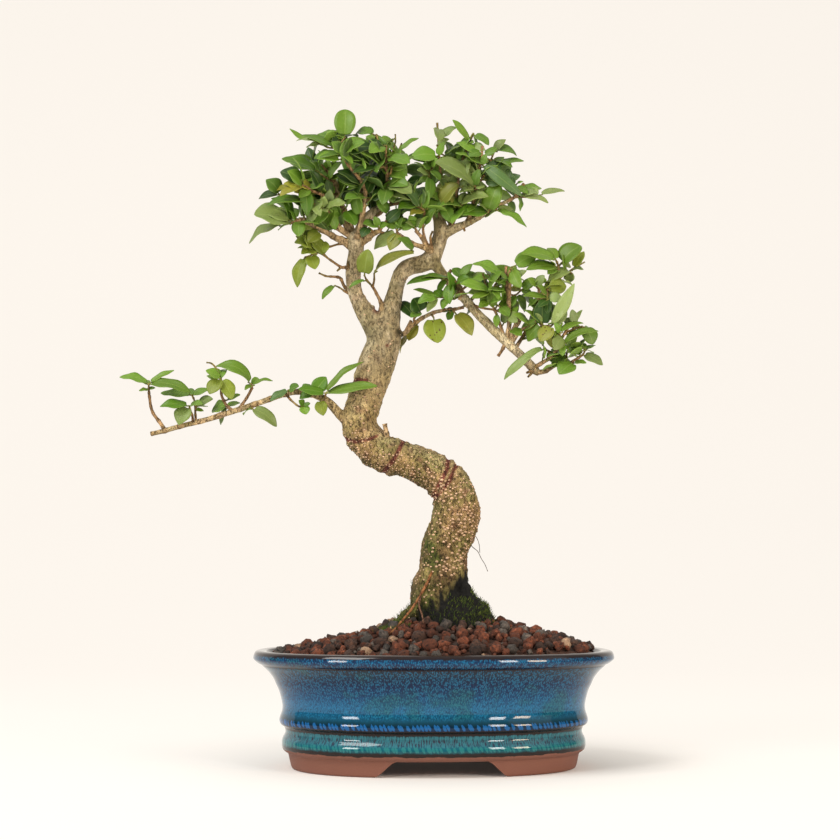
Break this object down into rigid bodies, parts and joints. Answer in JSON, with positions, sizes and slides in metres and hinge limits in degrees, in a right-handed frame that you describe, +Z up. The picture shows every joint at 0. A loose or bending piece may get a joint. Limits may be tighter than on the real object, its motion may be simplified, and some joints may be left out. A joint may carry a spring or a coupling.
{
  "type": "chinese privet bonsai",
  "caption": "Small privet tree with an S-curved trunk, spreading leafy limbs and a long low side branch, growing in granular soil in a shallow oval glazed pot on two curved feet.",
  "frame": {"origin": "centre of the bounding box at the bottom of the pot's feet", "axes": "+Z up, +X to the right and +Y away as seen from the front of the tree"},
  "size_m": [0.3448, 0.1958, 0.4616],
  "materials": {
    "pot": "deep glossy blue glaze, streaked teal and navy, over brown clay feet",
    "screen": "black moulded mesh",
    "soil": "rough baked clay and lava granules",
    "bark": "olive brown bark with raised pale pores",
    "dark_leaf": "smooth dark green leaf, slightly glossy",
    "fresh_leaf": "smooth fresh green leaf, slightly glossy",
    "yellow_leaf": "smooth yellow-green leaf, slightly glossy"
  },
  "bodies": {
    "root": {"pot": "pot", "drain_screen_left": "screen", "drain_screen_right": "screen", "soil": "soil", "trunk": "bark", "spray_left_outer": "dark_leaf", "spray_left_bright": "dark_leaf", "spray_left_dark": "dark_leaf", "spray_left_top": "dark_leaf", "spray_left_inner": "dark_leaf", "spray_left_low": "dark_leaf", "spray_left_yellow": "yellow_leaf", "spray_left_curl": "dark_leaf", "spray_crotch": "fresh_leaf", "spray_centre": "dark_leaf", "spray_right_stick": "fresh_leaf", "spray_right_top": "fresh_leaf", "spray_right_large": "fresh_leaf", "spray_right_edge": "fresh_leaf", "spray_right_oval": "fresh_leaf", "spray_right_droop": "fresh_leaf", "spray_right_fold": "fresh_leaf", "spray_right_tip": "fresh_leaf", "spray_right_reach": "fresh_leaf", "spray_below_long": "fresh_leaf", "spray_behind_dark": "dark_leaf", "spray_behind_yellow": "yellow_leaf", "spray_behind_low": "fresh_leaf", "spray_behind_drop": "fresh_leaf", "spray_below_bright": "fresh_leaf", "spray_below_twin": "fresh_leaf", "spray_lower_tall": "fresh_leaf", "spray_end_upper": "fresh_leaf", "spray_end_right": "fresh_leaf", "spray_branch_tip": "fresh_leaf", "spray_branch_second": "fresh_leaf", "spray_branch_third": "fresh_leaf", "spray_branch_square": "fresh_leaf", "spray_branch_arch": "fresh_leaf", "spray_branch_hanging": "fresh_leaf", "spray_branch_curl": "fresh_leaf", "spray_branch_over": "fresh_leaf", "spray_branch_inner": "fresh_leaf", "spray_branch_upright": "fresh_leaf", "spray_back_left_outer": "dark_leaf", "spray_back_left_upper": "dark_leaf", "spray_back_left_top": "dark_leaf", "spray_back_left_inner": "dark_leaf", "spray_back_right_inner": "fresh_leaf", "spray_back_right_top": "fresh_leaf", "spray_back_right_outer": "fresh_leaf", "spray_back_lower_left": "dark_leaf", "spray_back_lower_right": "fresh_leaf"}
  },
  "joints": []
}
